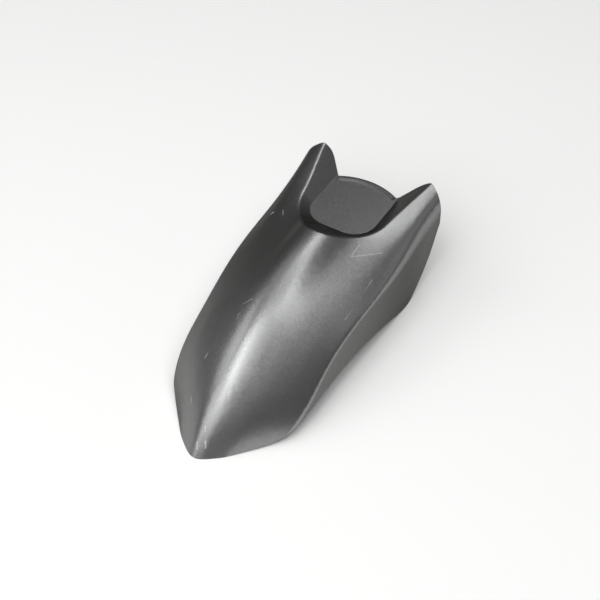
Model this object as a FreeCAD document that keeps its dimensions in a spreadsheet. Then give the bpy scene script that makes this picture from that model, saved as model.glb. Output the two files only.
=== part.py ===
import FreeCAD, Part
import math
import os
import Sketcher

# Front fender of a scooter: one thin moulded shell over the wheel.
# X runs forward to the nose, Y to the left and Z up; the fender rests on Z = 0.
# The crown and the side crease are arcs about the wheel axle, so the outer and inner
# forms are lofts through sections standing in planes that all pass through the axle.

doc = FreeCAD.newDocument("front_fender")
sheet = doc.addObject("Spreadsheet::Sheet", "lines")

SIZES = {
    "axle_back": 57, "axle_drop": 186, "nose_sweep": 62, "tail_sweep": 30, "wall": 2.5,
    "crown_radius": 320, "crease_radius": 270, "crease_width": 85, "crease_spread": 7.7,
    "crease_round": 4, "skirt_width": 91, "skirt_radius": 165, "nose_taper": 0.38,
    "flare_angle": 16, "ear_angle": 24, "ear_rise": 58, "valley_depth": 4.8,
    "recess_floor": 106, "recess_front": 95, "recess_width": 85, "recess_corner": 29,
    "recess_slope": 35, "ridge_round": 6, "lip_axis": 109, "lip_radius": 81.5, "lip_roll": 4.5,
    "lip_bead": 2, "lip_span": 80, "tip_reach": 206, "hem_rise": 28,
    "boss_middle": 138, "boss_length": 44, "boss_width": 50, "boss_radius": 7, "boss_drop": 16,
    "pilot_radius": 2.5, "rib": 2,
}
for row, (alias, size) in enumerate(SIZES.items(), 1):
    sheet.set(f"A{row}", alias)
    sheet.set(f"B{row}", str(size))
    sheet.setAlias(f"B{row}", alias)
doc.recompute()

STATIONS = 11
FAR = 320


def number(formula):
    return float(sheet.evalExpression(formula))


def bind(sketch, constraint, formula):
    """Adds a sized constraint and ties it to a formula of the sheet."""
    index = sketch.addConstraint(Sketcher.Constraint(*constraint, number(formula)))
    sketch.renameConstraint(index, f"size_{index}")
    sketch.setExpression(f"Constraints.size_{index}", formula)


def pin(sketch, geometry, vertex, place):
    bind(sketch, ("DistanceX", -1, 1, geometry, vertex), place[0])
    bind(sketch, ("DistanceY", -1, 1, geometry, vertex), place[1])


def point(place):
    return FreeCAD.Vector(number(place[0]), number(place[1]), 0)


def spline(sketch, poles, loose=None):
    """Draws an open cubic spline whose poles follow pairs of formulas, but for one loose pole."""
    inner = len(poles) - 4
    curve = Part.BSplineCurve()
    curve.buildFromPolesMultsKnots(
        [point(p) for p in poles], [4] + [1] * inner + [4], list(range(inner + 2)), False, 3)
    index = sketch.addGeometry(curve, False)
    sketch.exposeInternalGeometry(index)
    for i, pole in enumerate(poles):
        if i != loose:
            pin(sketch, index + 1 + i, 3, pole)
    return index


def lines(sketch, places):
    """Draws joined lines through places and pins the ones between the two ends."""
    made = []
    for a, b in zip(places, places[1:]):
        made.append(sketch.addGeometry(Part.LineSegment(point(a), point(b)), False))
    for a, b, place in zip(made, made[1:], places[1:-1]):
        sketch.addConstraint(Sketcher.Constraint("Coincident", a, 2, b, 1))
        pin(sketch, a, 2, place)
    return made


def join(sketch, a, end, b, start):
    sketch.addConstraint(Sketcher.Constraint("Coincident", a, end, b, start))


def mirrored(places):
    return [(f"-({u})", v) for u, v in reversed(places)]


def flipped(places):
    return [(u, f"-({v})") for u, v in reversed(places)]


def new_sketch(body, name, role, height="0"):
    """Adds a sketch on one of the body's own origin planes, raised by a formula."""
    sketch = body.newObject("Sketcher::SketchObject", name)
    sketch.AttachmentSupport = [(p, "") for p in body.Origin.OriginFeatures if p.Role == role]
    sketch.MapMode = "FlatFace"
    sketch.setExpression(".AttachmentOffset.Base.z", height)
    return sketch


def new_pad(body, sketch, length):
    doc.recompute()
    pad = body.newObject("PartDesign::Pad", f"{body.Name}_pad")
    pad.Profile = sketch
    pad.setExpression("Length", length)
    return pad


def between(a, b, part):
    """A place part of the way from a to b."""
    return tuple(f"(1 - {part}) * ({u}) + {part} * ({v})" for u, v in zip(a, b))


def arch(angle, skin):
    """Half of the section at one angle about the axle, as (half width, radius) formulas.

    It runs from the crown over the panel to the crease and down to the foot of the skirt.
    The middle of the fender has one arched section all along. Towards the nose it narrows
    and its crown grows blunter. Behind the flare angle the panels rise into the two ears, a
    shallow valley opens beside a broader crown and the crease softens towards the ear's end.
    The outer crease is rounded and the inner one is a plain corner.
    """
    flare = f"(max(0; lines.flare_angle - {angle}) / (lines.flare_angle + lines.ear_angle))"
    swell = f"max(0; min(1; (lines.flare_angle + 11 - {angle}) / 32))"
    snout = f"(max(0; {angle} - 33) / 22)^2"
    taper = f"(1 - lines.nose_taper * {snout})"
    width = f"lines.crease_width * {taper}"
    depth = "(lines.crown_radius - lines.crease_radius)"
    dome = f"{depth} * (1 - 0.7 * lines.nose_taper * {snout})"
    rise = f"lines.ear_rise * {flare}^4"
    valley = f"lines.valley_depth * sqrt({flare})"
    spread = f"lines.crease_spread * {swell}^2 * (3 - 2 * {swell})"
    inset = f"{skin} * lines.wall"
    crown = [
        ("0", f"lines.crown_radius + 0.58 * {rise} - {inset}"),
        (f"(0.15 + 0.06 * {swell}) * {width}",
         f"lines.crown_radius - (0.058 + 0.01 * {swell}) * {dome} + 0.58 * {rise} - {inset}"),
        (f"0.37 * {width} - 0.4 * {inset}",
         f"lines.crown_radius - 0.256 * {dome} - {valley} + 0.76 * {rise} - 0.91 * {inset}"),
        (f"0.57 * {width} - 0.5 * {inset}",
         f"lines.crown_radius - 0.455 * {dome} + 0.9 * {rise} - 0.86 * {inset}"),
        (f"0.8 * {width} + 12 * {flare} - 0.6 * {inset}",
         f"lines.crown_radius - 0.72 * {depth} + lines.ear_rise * {flare}^3 - 0.8 * {inset}"),
    ]
    crease = (f"{width} + {spread} - {inset}", f"lines.crease_radius + {rise} - 0.45 * {inset}")
    foot = (f"lines.skirt_width * {taper} - {inset}", f"lines.skirt_radius - 2 * {inset}")
    soft = f"lines.crease_round * (1 + 2.5 * {flare}^2)"
    start = between(crease, crown[-1], f"{soft} / 23")
    end = between(crease, foot, f"{soft} / 105")
    bend = [start, between(start, crease, "0.65"), between(end, crease, "0.65"), end]
    if skin:
        return [crown + [crease]], [crease, foot]
    return [crown + [start], bend], [end, foot]


def channel(name, skin):
    """Lofts the fender's form; skin is 0 for the outer face and 1 for the inner one."""
    body = doc.addObject("PartDesign::Body", name)
    sections = []
    for i in range(STATIONS):
        sweep = f"(lines.nose_sweep + lines.tail_sweep + {4 * skin})"
        angle = f"(lines.nose_sweep + {2 * skin} - {i} * {sweep} / {STATIONS - 1})"
        sketch = new_sketch(body, f"{name}_section_{i}", "YZ_Plane", "-lines.axle_back")
        sketch.AttachmentOffset = FreeCAD.Placement(
            FreeCAD.Vector(0, 0, 0), FreeCAD.Rotation(FreeCAD.Vector(1, 0, 0), 1))
        sketch.setExpression(".AttachmentOffset.Base.y", "-lines.axle_drop")
        sketch.setExpression(".AttachmentOffset.Rotation.Angle", f"{angle} * 1deg")
        curves, skirt = arch(angle, skin)
        dome = spline(sketch, mirrored(curves[0][1:]) + curves[0])
        left = [spline(sketch, poles, 0) for poles in curves[1:]]
        skirts = lines(sketch, skirt + mirrored(skirt))
        right = [spline(sketch, mirrored(poles), 3) for poles in curves[1:]]
        for a, b in zip([dome] + left, left + skirts[:1]):
            join(sketch, a, 2, b, 1)
        for a, b in zip(skirts[-1:] + right, right + [dome]):
            join(sketch, a, 2, b, 1)
        sections.append(sketch)
    doc.recompute()
    loft = body.newObject("PartDesign::AdditiveLoft", f"{name}_loft")
    loft.Profile = sections[0]
    loft.Sections = sections[1:]
    doc.recompute()
    return body


def basin(name, skin):
    """Pads the recess between the ears: a flat floor, evenly sloping sides and an open rear."""
    body = doc.addObject("PartDesign::Body", name)
    grow = f"{skin} * lines.wall * tan(lines.recess_slope / 2)"
    front = f"-lines.recess_front + {grow}"
    side = f"lines.recess_width / 2 + {grow}"
    bend = f"lines.recess_corner + {grow}"
    floor = f"lines.recess_floor - {skin} * lines.wall"
    sketch = new_sketch(body, f"{name}_outline", "XY_Plane", floor)
    turn = (f"{front} - ({bend})", side)
    edge = (front, f"{side} - ({bend})")
    rear = (f"-{FAR}", side)
    right = lines(sketch, flipped([turn, rear]))[0]
    nose = lines(sketch, flipped([edge]) + [edge])[0]
    left = lines(sketch, [turn, rear])[0]
    back = lines(sketch, [rear] + flipped([rear]))[0]
    up = FreeCAD.Vector(0, 0, 1)
    centre = (turn[0], edge[1])
    for before, after, middle, start in (
            (right, nose, flipped([centre])[0], -math.pi / 2), (nose, left, centre, 0)):
        circle = Part.Circle(point(middle), up, number(bend))
        arc = sketch.addGeometry(Part.ArcOfCircle(circle, start, start + math.pi / 2), False)
        sketch.addConstraint(Sketcher.Constraint("Tangent", before, 2, arc, 1))
        sketch.addConstraint(Sketcher.Constraint("Tangent", arc, 2, after, 1))
        bind(sketch, ("Radius", arc), bend)
    join(sketch, left, 2, back, 1)
    join(sketch, back, 2, right, 1)
    pin(sketch, left, 2, rear)
    pin(sketch, right, 1, flipped([rear])[0])
    sketch.addConstraint(Sketcher.Constraint("Horizontal", right))
    sketch.addConstraint(Sketcher.Constraint("Horizontal", left))
    bind(sketch, ("DistanceX", -1, 1, nose, 1), front)
    pad = new_pad(body, sketch, "80")
    pad.setExpression("TaperAngle", "(90 - lines.recess_slope) * 1deg")
    return body


def combine(kind, name, base, tool):
    result = doc.addObject(f"Part::{kind}", name)
    result.Base = base
    result.Tool = tool
    return result


outer = channel("outer_form", 0)
inner = channel("inner_form", 1)
recess = basin("recess", 0)
backing = basin("recess_backing", 1)

# Seen from above, the tail is cut along the rolled lip of the recess and round each ear's tip.
clear = doc.addObject("PartDesign::Body", "tail_clearance")
outline = new_sketch(clear, "tail_outline", "XY_Plane")
cusp = ("-lines.lip_axis - sqrt(lines.lip_radius^2 - lines.lip_span^2 / 4)", "lines.lip_span / 2")
ear = [cusp, ("-lines.tip_reach + 12", "53"), ("-lines.tip_reach + 3", "60"),
       ("-lines.tip_reach + 1", "76"), ("-lines.tip_reach + 14", "90"), ("-lines.tip_reach + 18", "104")]
left_ear = spline(outline, ear)
behind = [ear[-1], (f"-{FAR}", ear[-1][1])]
around = lines(outline, behind + flipped(behind))
right_ear = spline(outline, flipped(ear))
half_span = math.asin(number("lines.lip_span / 2 / lines.lip_radius"))
lip_middle = point(("-lines.lip_axis", "0"))
lip_circle = Part.Circle(lip_middle, FreeCAD.Vector(0, 0, 1), number("lines.lip_radius"))
lip_arc = Part.ArcOfCircle(lip_circle, math.pi - half_span, math.pi + half_span)
lip_edge = outline.addGeometry(lip_arc, False)
join(outline, left_ear, 1, lip_edge, 1)
join(outline, lip_edge, 2, right_ear, 2)
bind(outline, ("Radius", lip_edge), "lines.lip_radius")
join(outline, left_ear, 2, around[0], 1)
join(outline, around[-1], 2, right_ear, 1)
new_pad(clear, outline, "600").Midplane = True

# Seen from the side, the hem lies flat under the nose, sweeps up over the wheel's front,
# falls to the lobe that the fender stands on, and climbs to the ear.
keep = doc.addObject("PartDesign::Body", "side_profile")
profile = new_sketch(keep, "hem_line", "XZ_Plane")
hem = [("230", "0"), ("205", "0"), ("165", "0"), ("137", "0.18 * lines.hem_rise"),
       ("103", "0.93 * lines.hem_rise"), ("42", "lines.hem_rise"), ("-10", "1.07 * lines.hem_rise"),
       ("-63", "0.75 * lines.hem_rise"), ("-123", "-6"), ("-139", "9"), ("-175", "42"),
       ("-187", "75"), ("-211", "114")]
curve = spline(profile, hem)
above = [(f"-{FAR}", hem[-1][1]), (f"-{FAR}", "250"), (hem[0][0], "250")]
roof = lines(profile, [hem[-1]] + above + [hem[0]])
join(profile, curve, 2, roof[0], 1)
join(profile, roof[-1], 2, curve, 1)
new_pad(keep, profile, "400").Midplane = True
doc.recompute()

hollow_roof = combine("Cut", "hollow_roof", backing, clear)
hollow = combine("Cut", "hollow", inner, hollow_roof)
dished = combine("Cut", "dished_form", outer, recess)
doc.recompute()


def on_both(edge):
    """True for an edge that lies on the recess wall and on the domed top together."""
    first, last = edge.ParameterRange
    places = [Part.Vertex(edge.valueAt(first + t * (last - first))) for t in (0.2, 0.5, 0.8)]
    skins = [max(outer.Shape.Faces, key=lambda face: face.Area), recess.Shape.Shells[0]]
    return all(skin.distToShape(place)[0] < 0.01 for skin in skins for place in places)


# The ears' ridges and the rim of the recess are one rounded edge.
ridge = doc.addObject("Part::Fillet", "rounded_ridge")
ridge.Base = dished
round_size = number("lines.ridge_round")
ridge.Edges = [(i, round_size, round_size) for i, e in enumerate(dished.Shape.Edges, 1) if on_both(e)]
shell = combine("Cut", "raw_shell", ridge, hollow)
opened = combine("Cut", "opened_shell", shell, clear)
trimmed = combine("Common", "trimmed_shell", opened, keep)
doc.recompute()


def turned(name, draw):
    """Turns an outline about the upright axis of the lip, as far as the lip reaches."""
    body = doc.addObject("PartDesign::Body", name)
    sketch = new_sketch(body, f"{name}_outline", "XZ_Plane")
    sketch.setExpression(".AttachmentOffset.Base.x", "-lines.lip_axis")
    draw(sketch)
    doc.recompute()
    turn = body.newObject("PartDesign::Revolution", f"{name}_turn")
    turn.Profile = sketch
    turn.ReferenceAxis = (sketch, ["V_Axis"])
    turn.Midplane = True
    turn.setExpression("Angle", "2 * asin(lines.lip_span / 2 / lines.lip_radius)")
    doc.recompute()
    return body


def gap_outline(sketch):
    near = "-(lines.lip_radius - lines.lip_roll)"
    far = "-(lines.lip_radius + 10)"
    low = "lines.recess_floor - lines.wall - 1"
    high = "lines.recess_floor + 1"
    sides = lines(sketch, [(near, low), (near, high), (far, high), (far, low), (near, low)])
    join(sketch, sides[-1], 2, sides[0], 1)
    pin(sketch, sides[0], 1, (near, low))


def lip_outline(sketch):
    """A strip one wall thick that steps up from the floor, bends down and ends in a short hem."""
    top = "lines.recess_floor + lines.lip_bead"
    edge = "-(lines.lip_radius - lines.lip_roll)"
    start = f"{edge} + lines.wall"
    outside = [(start, top), (edge, top)]
    rear = "-lines.lip_radius"
    back = f"{rear} + lines.wall"
    bent = f"{top} - lines.lip_roll"
    down = [(rear, bent), (rear, f"{bent} - 3")]
    inside = [(back, f"{bent} - 3"), (back, bent)]
    under = [(edge, f"{top} - lines.wall"), (start, f"{top} - lines.wall")]
    first = lines(sketch, outside)
    second = lines(sketch, [down[0], down[1], inside[0], inside[1]])
    third = lines(sketch, [under[0], under[1], outside[0]])
    centre = point((edge, bent))
    up = FreeCAD.Vector(0, 0, 1)
    bends = []
    for radius in ("lines.lip_roll", "lines.lip_roll - lines.wall"):
        circle = Part.Circle(centre, up, number(radius))
        bends.append(sketch.addGeometry(Part.ArcOfCircle(circle, math.pi / 2, math.pi), False))
        bind(sketch, ("Radius", bends[-1]), radius)
    join(sketch, first[0], 2, bends[0], 1)
    join(sketch, bends[0], 2, second[0], 1)
    join(sketch, second[-1], 2, bends[1], 2)
    join(sketch, bends[1], 1, third[0], 1)
    join(sketch, third[-1], 2, first[0], 1)
    pin(sketch, first[0], 1, outside[0])
    pin(sketch, first[0], 2, outside[1])
    pin(sketch, second[0], 1, down[0])
    pin(sketch, second[-1], 2, inside[1])
    pin(sketch, third[0], 1, under[0])


gap = turned("lip_gap", gap_outline)
lip = turned("rolled_lip", lip_outline)
edged = combine("Cut", "edged_shell", trimmed, gap)


def solid(kind, name, sizes, place):
    """Adds a simple solid whose sizes and place follow formulas of the sheet."""
    made = doc.addObject(f"Part::{kind}", name)
    for size, formula in sizes.items():
        made.setExpression(size, formula)
    for axis, formula in zip("xyz", place):
        made.setExpression(f"Placement.Base.{axis}", formula)
    return made


# Four screw bosses hang under the floor of the recess, tied together by low ribs.
under = "lines.recess_floor - lines.wall / 2"
bosses = []
pilots = []
for fore in (1, -1):
    for side in (1, -1):
        place = (f"-lines.boss_middle + {fore} * lines.boss_length / 2",
                 f"{side} * lines.boss_width / 2", "lines.recess_floor - lines.boss_drop")
        bosses.append(solid("Cylinder", f"boss_{len(bosses)}", {
            "Radius": "lines.boss_radius", "Height": "lines.boss_drop - lines.wall / 2"}, place))
        pilots.append(solid("Cylinder", f"pilot_{len(pilots)}", {
            "Radius": "lines.pilot_radius", "Height": "lines.boss_drop - 2 * lines.wall"}, place))
ribs = []
for turn in (1, -1):
    ribs.append(solid("Box", f"long_rib_{len(ribs)}", {
        "Length": "lines.boss_length", "Width": "lines.rib", "Height": "lines.boss_drop / 2"},
        ("-lines.boss_middle - lines.boss_length / 2", f"{turn} * lines.boss_width / 2 - lines.rib / 2",
         f"{under} - lines.boss_drop / 2")))
    ribs.append(solid("Box", f"cross_rib_{len(ribs)}", {
        "Length": "lines.rib", "Width": "lines.boss_width", "Height": "lines.boss_drop / 2"},
        (f"-lines.boss_middle + {turn} * lines.boss_length / 2 - lines.rib / 2", "-lines.boss_width / 2",
         f"{under} - lines.boss_drop / 2")))
whole = doc.addObject("Part::MultiFuse", "fender_with_bosses")
whole.Shapes = [edged, lip] + bosses + ribs
drills = doc.addObject("Part::MultiFuse", "pilot_holes")
drills.Shapes = pilots
fender = combine("Cut", "front_fender", whole, drills)
doc.recompute()

for item in doc.Objects:
    if "Invalid" in item.State or "Error" in item.State:
        raise RuntimeError(f"{item.Name} did not build")
shape = fender.Shape.copy()
if shape.isNull() or not shape.isValid() or len(shape.Solids) != 1:
    raise RuntimeError("the fender is not one sound solid")

# The finished fender is set down on Z = 0 with the middle of its length at X = 0.
box = FreeCAD.BoundBox()
for corner in shape.tessellate(0.05)[0]:
    box.add(corner)
shape.translate(FreeCAD.Vector(-(box.XMin + box.XMax) / 2, 0, -box.ZMin))
os.makedirs("parts", exist_ok=True)
shape.Solids[0].exportStep("parts/front_fender.step")
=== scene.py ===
import math
import bmesh
import bpy
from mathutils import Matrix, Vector


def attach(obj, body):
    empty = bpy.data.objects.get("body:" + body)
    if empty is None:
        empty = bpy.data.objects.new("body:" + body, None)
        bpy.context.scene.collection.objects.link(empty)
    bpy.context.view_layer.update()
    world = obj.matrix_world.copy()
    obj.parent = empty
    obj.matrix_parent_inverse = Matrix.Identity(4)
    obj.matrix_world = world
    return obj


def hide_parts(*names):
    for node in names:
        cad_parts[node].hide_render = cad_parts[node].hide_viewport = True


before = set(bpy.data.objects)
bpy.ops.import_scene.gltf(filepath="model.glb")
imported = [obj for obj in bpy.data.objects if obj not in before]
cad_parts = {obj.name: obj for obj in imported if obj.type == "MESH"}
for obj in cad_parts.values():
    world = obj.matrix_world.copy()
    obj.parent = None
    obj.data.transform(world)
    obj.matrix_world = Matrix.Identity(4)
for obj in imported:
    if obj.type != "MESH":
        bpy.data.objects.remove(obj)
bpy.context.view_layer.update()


# The fender shell is one injection moulding of tough plastic about 2.5 mm thick.
# Its skin is smooth all over, with rounded ridges and a square trimmed hem.
# It leaves the mould in one piece, so the whole shell carries one coat of paint.
SHARP_EDGE = math.radians(28)
WELD_GAP = 2e-6
LARGE_FACE_WEIGHT = 60

shell_mesh = bpy.data.meshes.new("fender_shell")
work = bmesh.new()
work.from_mesh(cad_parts["front_fender"].data)
for layer in list(work.loops.layers.uv):
    work.loops.layers.uv.remove(layer)
bmesh.ops.remove_doubles(work, verts=work.verts, dist=WELD_GAP)
for face in work.faces:
    face.smooth = True
    face.material_index = 0
for edge in work.edges:
    edge.smooth = edge.calc_face_angle(0) < SHARP_EDGE
work.to_mesh(shell_mesh)
work.free()
if "custom_normal" in shell_mesh.attributes:
    shell_mesh.attributes.remove(shell_mesh.attributes["custom_normal"])
shell = bpy.data.objects.new("fender_shell", shell_mesh)
bpy.context.scene.collection.objects.link(shell)
even = shell.modifiers.new("even_normals", "WEIGHTED_NORMAL")
even.keep_sharp = True
even.weight = LARGE_FACE_WEIGHT

# The finish is a graphite metallic base coat under a glossy clear coat.
# Fine aluminium flakes lie nearly flat in the base coat and glitter as the surface turns.
# Seen at a low angle such paint goes dark.
PAINT_GREY = (0.324, 0.33, 0.326)
PAINT_SHADE = (0.248, 0.251, 0.249)
PAINT_FLOP = (0.09, 0.088, 0.074)
FLAKE_SIZE = 0.0008
FLAKE_TILT = 0.06
FLAKE_ROUGH_MIDDLE = 0.3
FLAKE_ROUGH_EDGE = 0.38
COAT_WEIGHT = 0.12
COAT_ROUGH = 0.12
COAT_IOR = 1.5

paint = bpy.data.materials.new("metallic_paint")
paint.use_nodes = True
nodes = paint.node_tree.nodes
links = paint.node_tree.links
gloss = nodes["Principled BSDF"]
gloss.inputs["Specular Tint"].default_value = (*PAINT_FLOP, 1)
gloss.inputs["Coat Weight"].default_value = COAT_WEIGHT
gloss.inputs["Coat Roughness"].default_value = COAT_ROUGH
gloss.inputs["Coat IOR"].default_value = COAT_IOR

place = nodes.new("ShaderNodeTexCoord")
flakes = nodes.new("ShaderNodeTexVoronoi")
flakes.inputs["Scale"].default_value = 1 / FLAKE_SIZE
links.new(place.outputs["Object"], flakes.inputs["Vector"])

# Each flake is a cell with its own small tilt away from the surface.
tilt = nodes.new("ShaderNodeVectorMath")
tilt.operation = "MULTIPLY_ADD"
tilt.inputs[1].default_value = (FLAKE_TILT,) * 3
links.new(flakes.outputs["Color"], tilt.inputs[0])
facing = nodes.new("ShaderNodeNewGeometry")
centred = nodes.new("ShaderNodeVectorMath")
centred.operation = "SUBTRACT"
centred.inputs[1].default_value = (FLAKE_TILT / 2,) * 3
links.new(facing.outputs["Normal"], centred.inputs[0])
links.new(centred.outputs["Vector"], tilt.inputs[2])
flake_normal = nodes.new("ShaderNodeVectorMath")
flake_normal.operation = "NORMALIZE"
links.new(tilt.outputs["Vector"], flake_normal.inputs[0])
links.new(flake_normal.outputs["Vector"], gloss.inputs["Normal"])

# Flakes differ a little in tone, and each is duller toward its edge.
tone = nodes.new("ShaderNodeMix")
tone.data_type = "RGBA"
tone.inputs["A"].default_value = (*PAINT_SHADE, 1)
tone.inputs["B"].default_value = (*PAINT_GREY, 1)
links.new(flakes.outputs["Color"], tone.inputs["Factor"])
rough = nodes.new("ShaderNodeMapRange")
rough.inputs["To Min"].default_value = FLAKE_ROUGH_MIDDLE
rough.inputs["To Max"].default_value = FLAKE_ROUGH_EDGE
links.new(flakes.outputs["Distance"], rough.inputs["Value"])

# Handling has left fine scratches and scuffs in the clear coat, and painted highlights are drawn among
# them:
# the glints on the rear flank, the hem and the nose are painted glints where an edge catches the
# light, and the two strokes along the crown are a painted reflection of a strip lamp.
# Each is a straight stroke from one place on the surface to another, with a width and a strength.
SCRATCH_AND_GLINT_GREY = (0.66, 0.665, 0.66)
SCRATCH_AND_GLINT_ROUGH = 0.6
SCRATCHES_AND_GLINTS = {
    "rear_glint": ((-0.0821, -0.0762, 0.1016), (-0.0853, -0.0746, 0.1031), 0.0014, 1.0),
    "rear_nick": ((-0.0883, -0.0632, 0.1092), (-0.0798, -0.0579, 0.1104), 0.0007, 0.8),
    "flank_high": ((0.0602, -0.0238, 0.1025), (0.0540, -0.0158, 0.1092), 0.0007, 0.7),
    "flank_middle": ((0.0711, -0.0223, 0.0987), (0.0781, -0.0205, 0.0964), 0.0007, 0.7),
    "flank_low": ((0.1191, -0.0375, 0.0614), (0.1142, -0.0373, 0.0651), 0.0008, 0.8),
    "crown_lamp_reflection": ((0.0953, 0.0023, 0.0944), (0.1350, 0.0101, 0.0668), 0.0009, 0.9),
    "crown_reflection_tail": ((0.1441, 0.0105, 0.0595), (0.1500, 0.0127, 0.0534), 0.0008, 0.7),
    "nose_top": ((0.1785, 0.0011, 0.0298), (0.1826, 0.0029, 0.0250), 0.0009, 0.8),
    "nose_right": ((0.1918, -0.0021, 0.0142), (0.1964, 0.0006, 0.0087), 0.0013, 1.0),
    "nose_left": ((0.1879, 0.0066, 0.0174), (0.1919, 0.0089, 0.0110), 0.0013, 1.0),
    "hem_glint": ((0.1550, -0.0331, 0.0338), (0.1603, -0.0304, 0.0305), 0.0008, 1.0),
    "scuff_down": ((-0.0792, 0.0460, 0.1147), (-0.0569, 0.0468, 0.1130), 0.0009, 0.65),
    "scuff_along": ((-0.0569, 0.0468, 0.1130), (-0.0875, 0.0705, 0.1058), 0.0009, 0.6),
    "panel_scuff": ((-0.0519, 0.0776, 0.0963), (0.0080, 0.0769, 0.0843), 0.0010, 0.45),
}

# The group puts out the strength along the middle of a stroke and fades to 0 at its width.
scratch_and_glint_stroke = bpy.data.node_groups.new("scratch_and_glint_stroke", "ShaderNodeTree")
for name in ("Place", "Start", "End"):
    scratch_and_glint_stroke.interface.new_socket(name, in_out="INPUT", socket_type="NodeSocketVector")
for name in ("Width", "Strength"):
    scratch_and_glint_stroke.interface.new_socket(name, in_out="INPUT", socket_type="NodeSocketFloat")
scratch_and_glint_stroke.interface.new_socket("Mask", in_out="OUTPUT", socket_type="NodeSocketFloat")
given = scratch_and_glint_stroke.nodes.new("NodeGroupInput")
result = scratch_and_glint_stroke.nodes.new("NodeGroupOutput")
steps = {}
for name, operation in (("from_start", "SUBTRACT"), ("stroke", "SUBTRACT"), ("along", "DOT_PRODUCT"),
                        ("whole", "DOT_PRODUCT"), ("nearest", "SCALE"), ("apart", "DISTANCE")):
    steps[name] = scratch_and_glint_stroke.nodes.new("ShaderNodeVectorMath")
    steps[name].operation = operation
share = scratch_and_glint_stroke.nodes.new("ShaderNodeMath")
share.operation = "DIVIDE"
share.use_clamp = True
fade = scratch_and_glint_stroke.nodes.new("ShaderNodeMapRange")
fade.interpolation_type = "SMOOTHSTEP"
fade.inputs["From Min"].default_value = 0
fade.inputs["To Max"].default_value = 0
for source, target in (
        (given.outputs["Place"], steps["from_start"].inputs[0]),
        (given.outputs["Start"], steps["from_start"].inputs[1]),
        (given.outputs["End"], steps["stroke"].inputs[0]),
        (given.outputs["Start"], steps["stroke"].inputs[1]),
        (steps["from_start"].outputs["Vector"], steps["along"].inputs[0]),
        (steps["stroke"].outputs["Vector"], steps["along"].inputs[1]),
        (steps["stroke"].outputs["Vector"], steps["whole"].inputs[0]),
        (steps["stroke"].outputs["Vector"], steps["whole"].inputs[1]),
        (steps["along"].outputs["Value"], share.inputs[0]),
        (steps["whole"].outputs["Value"], share.inputs[1]),
        (steps["stroke"].outputs["Vector"], steps["nearest"].inputs[0]),
        (share.outputs["Value"], steps["nearest"].inputs["Scale"]),
        (steps["nearest"].outputs["Vector"], steps["apart"].inputs[0]),
        (steps["from_start"].outputs["Vector"], steps["apart"].inputs[1]),
        (steps["apart"].outputs["Value"], fade.inputs["Value"]),
        (given.outputs["Width"], fade.inputs["From Max"]),
        (given.outputs["Strength"], fade.inputs["To Min"]),
        (fade.outputs["Result"], result.inputs["Mask"])):
    scratch_and_glint_stroke.links.new(source, target)

# One mask gathers every stroke: the real scratches and scuffs, and the painted glints and painted lamp
# reflection.
wear_and_glint_mask = None
for name, (start, end, width, strength) in SCRATCHES_AND_GLINTS.items():
    stroke = nodes.new("ShaderNodeGroup")
    stroke.name = name
    stroke.node_tree = scratch_and_glint_stroke
    stroke.inputs["Start"].default_value = start
    stroke.inputs["End"].default_value = end
    stroke.inputs["Width"].default_value = width
    stroke.inputs["Strength"].default_value = strength
    links.new(place.outputs["Object"], stroke.inputs["Place"])
    if wear_and_glint_mask is None:
        wear_and_glint_mask = stroke.outputs["Mask"]
        continue
    either = nodes.new("ShaderNodeMath")
    either.operation = "MAXIMUM"
    links.new(wear_and_glint_mask, either.inputs[0])
    links.new(stroke.outputs["Mask"], either.inputs[1])
    wear_and_glint_mask = either.outputs["Value"]

# A stroke isn't even along its length: the grain of the coat breaks it up.
GRAIN_SCALE = 900
GRAIN_LOW = 0.35
GRAIN_HIGH = 0.65
FAINTEST_SHARE = 0.35

grain = nodes.new("ShaderNodeTexNoise")
grain.inputs["Scale"].default_value = GRAIN_SCALE
links.new(place.outputs["Object"], grain.inputs["Vector"])
breaks = nodes.new("ShaderNodeMapRange")
breaks.inputs["From Min"].default_value = GRAIN_LOW
breaks.inputs["From Max"].default_value = GRAIN_HIGH
breaks.inputs["To Min"].default_value = FAINTEST_SHARE
links.new(grain.outputs["Fac"], breaks.inputs["Value"])
broken_wear_and_glints = nodes.new("ShaderNodeMath")
broken_wear_and_glints.operation = "MULTIPLY"
links.new(wear_and_glint_mask, broken_wear_and_glints.inputs[0])
links.new(breaks.outputs["Result"], broken_wear_and_glints.inputs[1])

# Scratched coat is pale and dull, and it hides the metal flakes below it.
# The painted glints and the painted lamp reflection are drawn in the same pale, dull colour, as
# painted highlights.
wear_and_glint_tone = nodes.new("ShaderNodeMix")
wear_and_glint_tone.data_type = "RGBA"
wear_and_glint_tone.inputs["B"].default_value = (*SCRATCH_AND_GLINT_GREY, 1)
links.new(broken_wear_and_glints.outputs["Value"], wear_and_glint_tone.inputs["Factor"])
links.new(tone.outputs["Result"], wear_and_glint_tone.inputs["A"])
links.new(wear_and_glint_tone.outputs["Result"], gloss.inputs["Base Color"])
wear_and_glint_rough = nodes.new("ShaderNodeMix")
wear_and_glint_rough.inputs["B"].default_value = SCRATCH_AND_GLINT_ROUGH
links.new(broken_wear_and_glints.outputs["Value"], wear_and_glint_rough.inputs["Factor"])
links.new(rough.outputs["Result"], wear_and_glint_rough.inputs["A"])
links.new(wear_and_glint_rough.outputs["Result"], gloss.inputs["Roughness"])
bare = nodes.new("ShaderNodeMapRange")
bare.inputs["To Min"].default_value = 1
bare.inputs["To Max"].default_value = 0
links.new(broken_wear_and_glints.outputs["Value"], bare.inputs["Value"])
links.new(bare.outputs["Result"], gloss.inputs["Metallic"])

shell_mesh.materials.append(paint)
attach(shell, "root")
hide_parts("front_fender")


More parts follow.
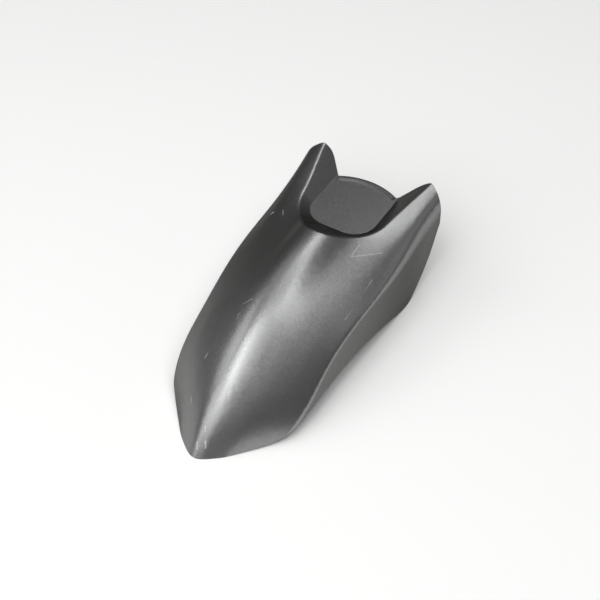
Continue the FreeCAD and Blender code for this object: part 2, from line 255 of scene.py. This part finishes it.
# The floor is a plain pale studio sheet that the fender stands on.
# It is matt, and it lights the skirts from below.
FLOOR_REACH = 3.0
FLOOR_TONE = (0.91, 0.91, 0.905)
FLOOR_ROUGH = 0.9

floor_mesh = bpy.data.meshes.new("studio_floor")
corners = [(-1, -1), (1, -1), (1, 1), (-1, 1)]
floor_mesh.from_pydata([(FLOOR_REACH * x, FLOOR_REACH * y, 0) for x, y in corners], [], [(0, 1, 2, 3)])
floor = bpy.data.objects.new("studio_floor", floor_mesh)
bpy.context.scene.collection.objects.link(floor)
sheet = bpy.data.materials.new("pale_sheet")
sheet.use_nodes = True
matt = sheet.node_tree.nodes["Principled BSDF"]
matt.inputs["Base Color"].default_value = (*FLOOR_TONE, 1)
matt.inputs["Roughness"].default_value = FLOOR_ROUGH
floor_mesh.materials.append(sheet)


# The room is dim, and round soft lamps hang about the fender, all at one distance.
# The strongest are in front of it, and weaker ones fill from above, the sides and the rear.
# A lamp has its turn from the nose and its rise from the floor in degrees, its width and its power.
ROOM_TONE = (1, 1, 0.98)
ROOM_LEVEL = 0.095
LAMP_DISTANCE = 3.6
LAMPS = {
    "front_top": (-8, 60, 2.0, 21),
    "top": (10, 85, 2.4, 9),
    "front_left": (27, 59, 2.2, 26),
    "front_low": (9, 37, 2.3, 25),
    "front_right_low": (-27, 27, 2.3, 22),
    "front_right": (-44, 53, 2.2, 8),
    "right": (-72, 38, 2.2, 18),
    "right_rear": (-115, 60, 2.0, 5),
    "left_top": (70, 66, 2.0, 3),
    "left": (95, 61, 1.2, 10),
    "left_rear": (120, 61, 1.2, 6),
    "left_low": (120, 24, 1.6, 3),
    "rear_left": (150, 63, 1.0, 4),
    "rear_low": (-175, 57, 1.4, 11),
    "rear_top": (178, 72, 1.8, 6.5),
}

room = bpy.data.worlds.new("dim_room")
bpy.context.scene.world = room
room.use_nodes = True
air = room.node_tree.nodes["Background"]
air.inputs["Color"].default_value = (*ROOM_TONE, 1)
air.inputs["Strength"].default_value = ROOM_LEVEL


def toward(turn, rise):
    """The direction at a turn from the nose and a rise from the floor, both in degrees."""
    turn, rise = math.radians(turn), math.radians(rise)
    return Vector((math.cos(rise) * math.cos(turn), math.cos(rise) * math.sin(turn), math.sin(rise)))


for name, (turn, rise, width, power) in LAMPS.items():
    lamp = bpy.data.lights.new(name, "AREA")
    lamp.shape = "DISK"
    lamp.size = width
    lamp.energy = power
    holder = bpy.data.objects.new(name, lamp)
    way = toward(turn, rise)
    holder.location = LAMP_DISTANCE * way
    holder.rotation_euler = way.to_track_quat("Z", "Y").to_euler()
    bpy.context.scene.collection.objects.link(holder)


# The camera stands in front of the fender, above it and on its left, as the photograph was taken.
# Its lens is long, and the middle of the view lies a little to one side of the frame's.
VIEW_TURN = 31.0
VIEW_RISE = 45.9
VIEW_DISTANCE = 1.5915
VIEW_TARGET = Vector((-0.03195, 0, 0.04005))
VIEW_END = 30
SENSOR_WIDTH = 36
FOCAL_PIXELS = 1354
FRAME_PIXELS = 600
CENTRE_PIXEL = 304.3

lens = bpy.data.cameras.new("camera")
lens.sensor_width = SENSOR_WIDTH
lens.lens = SENSOR_WIDTH * FOCAL_PIXELS / FRAME_PIXELS
lens.shift_x = (FRAME_PIXELS / 2 - CENTRE_PIXEL) / FRAME_PIXELS
lens.clip_end = VIEW_END
camera = bpy.data.objects.new("camera", lens)
outward = toward(VIEW_TURN, VIEW_RISE)
camera.location = VIEW_TARGET + VIEW_DISTANCE * outward
camera.rotation_euler = outward.to_track_quat("Z", "Y").to_euler()
bpy.context.scene.collection.objects.link(camera)
bpy.context.scene.camera = camera
bpy.context.scene.view_settings.view_transform = "Standard"
